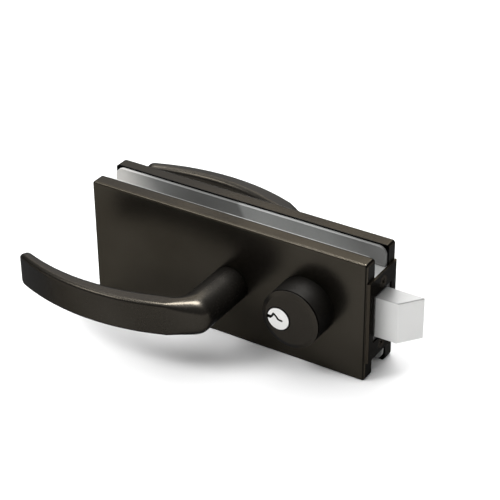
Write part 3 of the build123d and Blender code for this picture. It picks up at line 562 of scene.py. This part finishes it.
# A Geometry Nodes tree: each input is named, and its value is set by its socket's identifier.
class Grower:
    def __init__(self, name, inputs):
        self.tree = bpy.data.node_groups.new(name, "GeometryNodeTree")
        self.inputs = inputs
        self.tree.interface.new_socket("Geometry", in_out="OUTPUT", socket_type="NodeSocketGeometry")
        kinds = {int: "NodeSocketInt", float: "NodeSocketFloat", tuple: "NodeSocketVector"}
        self.sockets = {
            key: self.tree.interface.new_socket(
                key, in_out="INPUT", socket_type=kinds.get(type(value), "NodeSocketMaterial")
            ).identifier
            for key, value in inputs.items()
        }
        self.entry = self.tree.nodes.new("NodeGroupInput")

    def value(self, key):
        return self.entry.outputs[key]

    def feed(self, socket, value):
        if isinstance(value, bpy.types.NodeSocket):
            self.tree.links.new(value, socket)
        else:
            socket.default_value = value

    def node(self, kind, settings=None, output=0, **links):
        made = self.tree.nodes.new(kind)
        for key, setting in (settings or {}).items():
            setattr(made, key, setting)
        for key, value in links.items():
            for link in value if isinstance(value, list) else [value]:
                self.feed(made.inputs[key.replace("_", " ")], link)
        return made.outputs[output]

    def math(self, operation, *values):
        made = self.tree.nodes.new("ShaderNodeMath")
        made.operation = operation
        for socket, value in zip(made.inputs, values):
            self.feed(socket, value)
        return made.outputs[0]

    def cut(self, operation, **links):
        return self.node(
            "GeometryNodeMeshBoolean", {"operation": operation, "solver": "EXACT"}, "Mesh", **links
        )

    def line(self, **links):
        return self.node("GeometryNodeMeshLine", {"mode": "OFFSET"}, "Mesh", **links)

    def vector(self, x=0.0, y=0.0, z=0.0):
        return self.node("ShaderNodeCombineXYZ", None, X=x, Y=y, Z=z)

    def moved(self, geometry, **links):
        return self.node("GeometryNodeTransform", None, Geometry=geometry, **links)

    # Ends the tree, runs it once and keeps the plain mesh as one object.
    def bake(self, geometry, body, replaced):
        real = self.node("GeometryNodeRealizeInstances", None, Geometry=geometry)
        done = self.node("GeometryNodeSetMaterial", None, Geometry=real, Material=self.value("finish"))
        self.tree.links.new(done, self.tree.nodes.new("NodeGroupOutput").inputs[0])
        grown = addObject(self.tree.name, bpy.data.meshes.new("empty"))
        modifier = grown.modifiers.new("grow", "NODES")
        modifier.node_group = self.tree
        for key, value in self.inputs.items():
            modifier[self.sockets[key]] = value
        mesh = finalMesh(grown)
        grown.modifiers.clear()
        grown.data = mesh
        form = bmesh.new()
        form.from_mesh(mesh)
        keepForm(form, mesh)
        mesh.name = self.tree.name
        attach(grown, body)
        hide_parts(replaced)
        print(self.tree.name, len(mesh.polygons), "faces")
        return grown


# Rows of screws. Each has a shank and, where headRadius is over shankRadius, a countersunk head.
# Its drive is a hexagon where driveSides is given, and otherwise a cross.
def growScrews(name, sizes, body, replaced):
    grower = Grower(name, sizes)
    value = grower.value
    half = grower.math("MULTIPLY", value("length"), -0.5)
    screw = grower.node(
        "GeometryNodeMeshCylinder", None, "Mesh",
        Vertices=value("sides"), Radius=value("shankRadius"), Depth=value("length"),
    )
    screw = grower.moved(screw, Translation=grower.vector(z=half))
    if sizes["headRadius"] > sizes["shankRadius"]:
        headDepth = grower.math("SUBTRACT", value("headRadius"), value("shankRadius"))
        head = grower.node(
            "GeometryNodeMeshCone", None, "Mesh",
            Vertices=value("sides"), Radius_Top=value("headRadius"), Radius_Bottom=value("shankRadius"),
            Depth=headDepth,
        )
        head = grower.moved(head, Translation=grower.vector(z=grower.math("MULTIPLY", headDepth, -1.0)))
        screw = grower.cut("UNION", Mesh_2=[screw, head])
    deep = grower.math("MULTIPLY", value("driveDepth"), 2.0)
    if "driveSides" in sizes:
        drive = grower.node(
            "GeometryNodeMeshCylinder", None, "Mesh",
            Vertices=value("driveSides"), Radius=value("driveWidth"), Depth=deep,
        )
    else:
        wide, tall = value("driveWidth"), value("driveLength")
        bars = [
            grower.node("GeometryNodeMeshCube", None, "Mesh", Size=grower.vector(x, y, deep))
            for x, y in ((wide, tall), (tall, wide))
        ]
        drive = grower.moved(grower.cut("UNION", Mesh_2=bars), Rotation=(0.0, 0.0, math.pi / 4))
    screw = grower.cut("DIFFERENCE", Mesh_1=screw, Mesh_2=drive)
    row = grower.line(Count=value("across"), Start_Location=value("first"), Offset=value("acrossStep"))
    rows = grower.line(Count=value("along"), Offset=value("alongStep"))
    spots = grower.node("GeometryNodeInstanceOnPoints", None, Points=rows, Instance=row)
    spots = grower.node("GeometryNodeRealizeInstances", None, Geometry=spots)
    placed = grower.node(
        "GeometryNodeInstanceOnPoints", None, Points=spots, Instance=screw, Rotation=value("turn")
    )
    return grower.bake(placed, body, replaced)


faceplateScrews = {
    "headRadius": 0.0038,
    "shankRadius": 0.0024,
    "length": 0.0054,
    "driveWidth": 0.0009,
    "driveLength": 0.0038,
    "driveDepth": 0.0011,
    "sides": 40,
    "first": (0.0935, 0.0, -0.0199),
    "across": 2,
    "acrossStep": (0.0, 0.0, 0.0398),
    "along": 1,
    "alongStep": (0.0, 0.0, 0.0),
    "turn": (0.0, math.pi / 2, 0.0),
    "finish": paints["screwBronze"],
}
coverScrews = faceplateScrews | {
    "headRadius": 0.0015,
    "shankRadius": 0.0015,
    "length": 0.0055,
    "driveSides": 6,
    "driveWidth": 0.00085,
    "driveDepth": 0.0016,
    "first": (-0.06, -0.01, -0.038),
    "acrossStep": (0.12, 0.0, 0.0),
    "along": 2,
    "alongStep": (0.0, 0.02, 0.0),
    "turn": (math.pi, 0.0, 0.0),
}
grubScrews = coverScrews | {
    "headRadius": 0.0025,
    "shankRadius": 0.0025,
    "length": 0.006,
    "driveWidth": 0.0014,
    "first": (0.004, -0.025, -0.012),
    "acrossStep": (0.0, 0.05, 0.0),
    "along": 1,
}
caseScrews = faceplateScrews | {
    "headRadius": 0.0024,
    "shankRadius": 0.00125,
    "length": 0.008,
    "driveWidth": 0.0006,
    "driveLength": 0.0026,
    "driveDepth": 0.0008,
    "first": (-0.0185, 0.008, -0.02149),
    "acrossStep": (0.1042, 0.0, 0.0),
    "along": 2,
    "alongStep": (0.0, 0.0, 0.04298),
    "turn": (-math.pi / 2, 0.0, 0.0),
    "finish": paints["steel"],
}
growScrews("faceplateScrews", faceplateScrews, "housing", "faceplate_screws")
growScrews("coverScrews", coverScrews, "housing", "cover_screws")
growScrews("grubScrews", grubScrews, "lever", "lever_grub_screws")
growScrews("caseScrews", caseScrews, "housing", "case_screws")

# The latch spring: a wire that follows a spiral along the bolt.
latchSpring = {
    "coilRadius": 0.0034,
    "wireRadius": 0.0004,
    "turns": 9.0,
    "length": 0.04118,
    "wireSides": 12,
    "turnPoints": 40,
    "start": (0.03641, -0.0018, 0.017),
    "turn": (0.0, math.pi / 2, 0.0),
    "finish": paints["springSteel"],
}


def growSpring(name, sizes, body, replaced):
    grower = Grower(name, sizes)
    value = grower.value
    path = grower.node(
        "GeometryNodeCurveSpiral", None, "Curve",
        Resolution=value("turnPoints"), Rotations=value("turns"), Start_Radius=value("coilRadius"),
        End_Radius=value("coilRadius"), Height=value("length"),
    )
    wire = grower.node(
        "GeometryNodeCurvePrimitiveCircle", None, "Curve",
        Resolution=value("wireSides"), Radius=value("wireRadius"),
    )
    coil = grower.node(
        "GeometryNodeCurveToMesh", None, "Mesh", Curve=path, Profile_Curve=wire, Fill_Caps=True
    )
    coil = grower.moved(coil, Translation=value("start"), Rotation=value("turn"))
    return grower.bake(coil, body, replaced)


growSpring("latchSpring", latchSpring, "housing", "latch_spring")

# A lever: its plan follows a round bend, then a wide bow to the tip, in metres and degrees.
# Distances across are from the lever's axis. Distances out are from the cover's face, but those
# of the journal, its groove and its pocket are from the middle of the glass.
lever = {
    "axis": middleOf("spindle"),
    "coverFront": -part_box("outside_cover")[0].y,
    "neckRadius": 0.01125,
    "neckGap": 0.0004,
    "journalRadius": 0.0095,
    "journalEnd": 0.0084,
    "grooveFrom": 0.0131,
    "grooveTo": 0.0142,
    "grooveDepth": 0.0008,
    "pocketSide": 0.0081,
    "pocketEnd": 0.0333,
    "projection": 0.0609,
    "bowRadius": 0.138,
    "bowOffset": 0.06,
    "insideRadius": 0.009,
    "bendStart": 0.0334,
    "bendAngle": 60.0,
    "bendSlack": 0.00005,
    "softness": 14.0,
    "height": 0.021,
    "rootThickness": 0.012,
    "tipThickness": 0.0076,
    "rootReach": 0.019,
    "reach": 0.1153,
    "tipRound": 0.005,
    "tipFullness": 0.96,
    "tipTrim": 2.6,
    "faceRound": 0.0024,
    "backRound": 0.0036,
    "bendSteps": 30,
    "bowSteps": 80,
    "tipSteps": 12,
    "arcSteps": 10,
    "flatShares": (0.04, 0.5, 0.96),
    "grubRadius": 0.0025,
    "grubDistance": 0.0085,
    "grubDepth": 0.0085,
    "grubOverhang": 0.001,
    "grubSides": 40,
    "sharpAngle": 40.0,
}


def mix(first, second, share):
    return first + (second - first) * share


def between(first, second, share):
    return tuple(mix(a, b, share) for a, b in zip(first, second))


# Point at a radius and an angle from a centre.
def onCircle(centre, radius, angle):
    return centre[0] + radius * math.cos(angle), centre[1] + radius * math.sin(angle)


# Outline of one section in its own plane, the outer side first: corners rounded by two radii.
def sectionOutline(lever, half, top, faceRound, backRound):
    corners = [
        ((half - faceRound, top - faceRound), faceRound),
        ((backRound - half, top - backRound), backRound),
        ((backRound - half, backRound - top), backRound),
        ((half - faceRound, faceRound - top), faceRound),
    ]
    steps = lever["arcSteps"]
    arcs = [
        [onCircle(centre, radius, (quarter + step / steps) * math.pi / 2) for step in range(steps + 1)]
        for quarter, (centre, radius) in enumerate(corners)
    ]
    outline = []
    for arc, after in zip(arcs, arcs[1:] + arcs[:1]):
        outline += arc
        outline += [between(arc[-1], after[0], share) for share in lever["flatShares"]]
    return outline


# A section between an outer and an inner point of the plan, as points (across, out, height).
def planSection(lever, outer, inner, height, faceRound, backRound):
    half = math.dist(outer, inner) / 2
    along = [(a - b) / (2 * half) for a, b in zip(outer, inner)]
    middle = between(outer, inner, 0.5)
    return [
        (middle[0] + x * along[0], middle[1] + x * along[1], z)
        for x, z in sectionOutline(lever, half, height / 2, faceRound, backRound)
    ]


# From the inside bend's centre to the outer outline, by an angle from across toward outward.
def outerDistance(lever, bend, bow, angle):
    across, out = bend[0] - bow[0], bend[1] - bow[1]
    toSide = (lever["neckRadius"] - bend[0]) / math.cos(angle)
    half = across * math.cos(angle) + out * math.sin(angle)
    toBow = math.sqrt(half**2 - across**2 - out**2 + lever["bowRadius"] ** 2) - half
    softness = lever["softness"]
    return (toSide**-softness + toBow**-softness) ** (-1 / softness)


# Round the bend, from the neck's round section to the bar's flat one.
def bendSections(lever, bend, bow):
    startRound = (outerDistance(lever, bend, bow, 0) - lever["insideRadius"]) / 2 - lever["bendSlack"]
    for step in range(lever["bendSteps"] + 1):
        share = step / lever["bendSteps"]
        angle = math.radians(lever["bendAngle"]) * share
        yield planSection(
            lever,
            onCircle(bend, outerDistance(lever, bend, bow, angle), angle),
            onCircle(bend, lever["insideRadius"], angle),
            mix(2 * lever["neckRadius"], lever["height"], share),
            mix(startRound, lever["faceRound"], share),
            mix(startRound, lever["backRound"], share),
        )


# One section of the bow, at an angle from straight out as seen from the bow's centre.
# Near the tip, trim makes it thinner and shrink makes it lower.
def bowSection(lever, bow, angle, thickness, trim=0.0, shrink=0.0):
    near = lever["bowRadius"] - trim
    far = lever["bowRadius"] - thickness + trim
    tight = (near - far) / lever["tipThickness"] if trim else 1
    return planSection(
        lever,
        onCircle(bow, near, math.pi / 2 - angle),
        onCircle(bow, far, math.pi / 2 - angle),
        lever["height"] - 2 * shrink,
        lever["faceRound"] * tight,
        lever["backRound"] * tight,
    )


# Along the bow, thinner toward the tip, then round the tip.
def bowSections(lever, bow):
    root = math.asin((lever["bowOffset"] - lever["rootReach"]) / lever["bowRadius"])
    tip = math.asin((lever["bowOffset"] - lever["reach"]) / lever["bowRadius"])
    tipStart = tip + lever["tipRound"] / lever["bowRadius"]
    for step in range(lever["bowSteps"] + 1):
        share = step / lever["bowSteps"]
        thickness = mix(lever["rootThickness"], lever["tipThickness"], share)
        yield bowSection(lever, bow, mix(root, tipStart, share), thickness)
    for step in range(1, lever["tipSteps"] + 1):
        share = math.sin(step / lever["tipSteps"] * math.pi / 2)
        shrink = lever["tipRound"] * (1 - math.sqrt(1 - (lever["tipFullness"] * share) ** 2))
        trim = shrink * lever["tipThickness"] / (lever["tipTrim"] * lever["tipRound"])
        yield bowSection(lever, bow, mix(tipStart, tip, share), lever["tipThickness"], trim, shrink)


# The pocket, the journal with its groove and the neck, as far as the first section of the bend.
def journalSections(lever, first):
    turns = [math.atan2(z, x) for x, out, z in first]

    def ring(radius, out):
        points = [onCircle((0, 0), radius, turn) for turn in turns]
        return [(x, out - lever["coverFront"], z) for x, z in points]

    def square(out):
        half = lever["pocketSide"] / 2
        reaches = [half / max(abs(math.cos(turn)), abs(math.sin(turn))) for turn in turns]
        points = [onCircle((0, 0), reach, turn) for reach, turn in zip(reaches, turns)]
        return [(x, out - lever["coverFront"], z) for x, z in points]

    radius, groove = lever["journalRadius"], lever["journalRadius"] - lever["grooveDepth"]
    return [
        square(lever["pocketEnd"]),
        square(lever["journalEnd"]),
        ring(radius, lever["journalEnd"]),
        ring(radius, lever["grooveFrom"]),
        ring(groove, lever["grooveFrom"]),
        ring(groove, lever["grooveTo"]),
        ring(radius, lever["grooveTo"]),
        ring(radius, lever["coverFront"] + lever["neckGap"]),
        [(x, lever["neckGap"], z) for x, out, z in first],
    ]


# One lever on the outside (side 1) or on the inside (side -1).
def makeLever(name, lever, side):
    bow = -lever["bowOffset"], lever["projection"] - lever["bowRadius"]
    bend = -lever["neckRadius"] - lever["insideRadius"], lever["bendStart"]
    sections = [*bendSections(lever, bend, bow), *bowSections(lever, bow)]
    sections = journalSections(lever, sections[0]) + sections
    axisX, axisZ = lever["axis"]
    front = lever["coverFront"]
    form = bmesh.new()
    rings = [
        [form.verts.new((axisX + x, -side * (front + out), axisZ + z)) for x, out, z in section]
        for section in sections
    ]
    for ring, after in zip(rings, rings[1:]):
        for n in range(len(ring)):
            form.faces.new((ring[n - 1], ring[n], after[n], after[n - 1]))
    form.faces.new(rings[0])
    form.faces.new(rings[-1])
    mesh = bpy.data.meshes.new(name)
    keepForm(form, mesh)
    made = addObject(name, mesh)
    drillGrubHole(made, lever, side)
    made.data.shade_smooth()
    made.data.set_sharp_from_angle(angle=math.radians(lever["sharpAngle"]))
    return made


# The grub screw's hole goes in from below, as far as the pocket.
def drillGrubHole(made, lever, side):
    form = bmesh.new()
    place = (
        lever["axis"][0],
        -side * (lever["coverFront"] + lever["grubDistance"]),
        lever["axis"][1] - lever["neckRadius"] - lever["grubOverhang"] + lever["grubDepth"] / 2,
    )
    bmesh.ops.create_cone(
        form,
        cap_ends=True,
        segments=lever["grubSides"],
        radius1=lever["grubRadius"],
        radius2=lever["grubRadius"],
        depth=lever["grubDepth"],
        matrix=Matrix.Translation(place),
    )
    mesh = bpy.data.meshes.new("grubDrill")
    form.to_mesh(mesh)
    form.free()
    drill = addObject("grubDrill", mesh)
    hole = made.modifiers.new("hole", "BOOLEAN")
    hole.operation = "DIFFERENCE"
    hole.solver = "EXACT"
    hole.object = drill
    made.data = finalMesh(made)
    made.data.name = made.name
    made.modifiers.clear()
    bpy.data.objects.remove(drill)


levers = [makeLever("outsideLever", lever, 1), makeLever("insideLever", lever, -1)]
for made, replaced in zip(levers, ("outside_lever", "inside_lever")):
    made.data.materials.clear()
    made.data.materials.append(paints["leverBronze"])
    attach(made, "lever")
    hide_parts(replaced)
    print(made.name, len(made.data.polygons), "faces")

# Pale floor and even surroundings.
studio = {
    "floorHalf": 6.0,
    "floorColour": (0.92, 0.92, 0.92),
    "floorShade": (0.9108, 0.9108, 0.9108),
    "floorCloud": 3.0,
    "floorRoughness": 0.8,
    "floorSpecular": 0.1,
    "worldColour": (1.0, 1.0, 1.0),
    "worldStrength": 0.25,
}

# Softboxes: each looks at the origin from its place. Its sides are in metres, its power in watts.
softboxes = {
    "backSoftbox": {"place": (-0.9, 1.42, 1.15), "size": (1.9, 1.1), "power": 40.0},
    "keySoftbox": {"place": (-0.85, -0.95, 1.35), "size": (0.7, 0.55), "power": 20.0},
    "overheadSoftbox": {"place": (0.1, 0.1, 1.9), "size": (2.4, 2.4), "power": 36.0},
    "bronzeSoftbox": {"place": (0.0, 0.2, 1.2), "size": (0.7, 0.6), "power": 66.0, "onlyBronze": True},
}


def makeFloor(studio):
    low = min(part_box(name)[0].z for name in nodes)
    half = studio["floorHalf"]
    mesh = bpy.data.meshes.new("studioFloor")
    corners = [(-half, -half, low), (half, -half, low), (half, half, low), (-half, half, low)]
    mesh.from_pydata(corners, [], [(0, 1, 2, 3)])
    floor = addObject("studioFloor", mesh)
    finish = Finish("paleFloor")
    cloud = finish.noise(finish.place(), studio["floorCloud"])
    finish.set(
        Base_Color=finish.colours(cloud, studio["floorColour"], studio["floorShade"]),
        Roughness=studio["floorRoughness"],
        Specular_IOR_Level=studio["floorSpecular"],
    )
    mesh.materials.append(finish.material)


def makeLight(name, place, size, power, onlyBronze=False):
    data = bpy.data.lights.new(name, "AREA")
    data.shape = "RECTANGLE"
    data.size, data.size_y = size
    data.energy = power
    light = addObject(name, data)
    light.location = place
    light.rotation_euler = (-Vector(place)).to_track_quat("-Z", "Y").to_euler()
    if onlyBronze:  # this light leaves the floor and the pale pieces alone
        light.light_linking.receiver_collection = bronzePieces


def makeWorld(studio):
    world = bpy.data.worlds.new("softStudio")
    world.use_nodes = True
    background = world.node_tree.nodes["Background"]
    background.inputs["Color"].default_value = (*studio["worldColour"], 1)
    background.inputs["Strength"].default_value = studio["worldStrength"]
    bpy.context.scene.world = world
    bpy.context.scene.view_settings.view_transform = "Standard"
    bpy.context.scene.view_settings.look = "None"


bronzePieces = bpy.data.collections.new("bronzePieces")
for name in ("coverBronze", "housingBronze", "turnBronze", "faceplateBronze"):
    for member in finishes[name][2]:
        bronzePieces.objects.link(nodes[member])
for made in levers:
    bronzePieces.objects.link(made)
makeFloor(studio)
makeWorld(studio)
for name, softbox in softboxes.items():
    makeLight(name, **softbox)
print("floor and light ready")
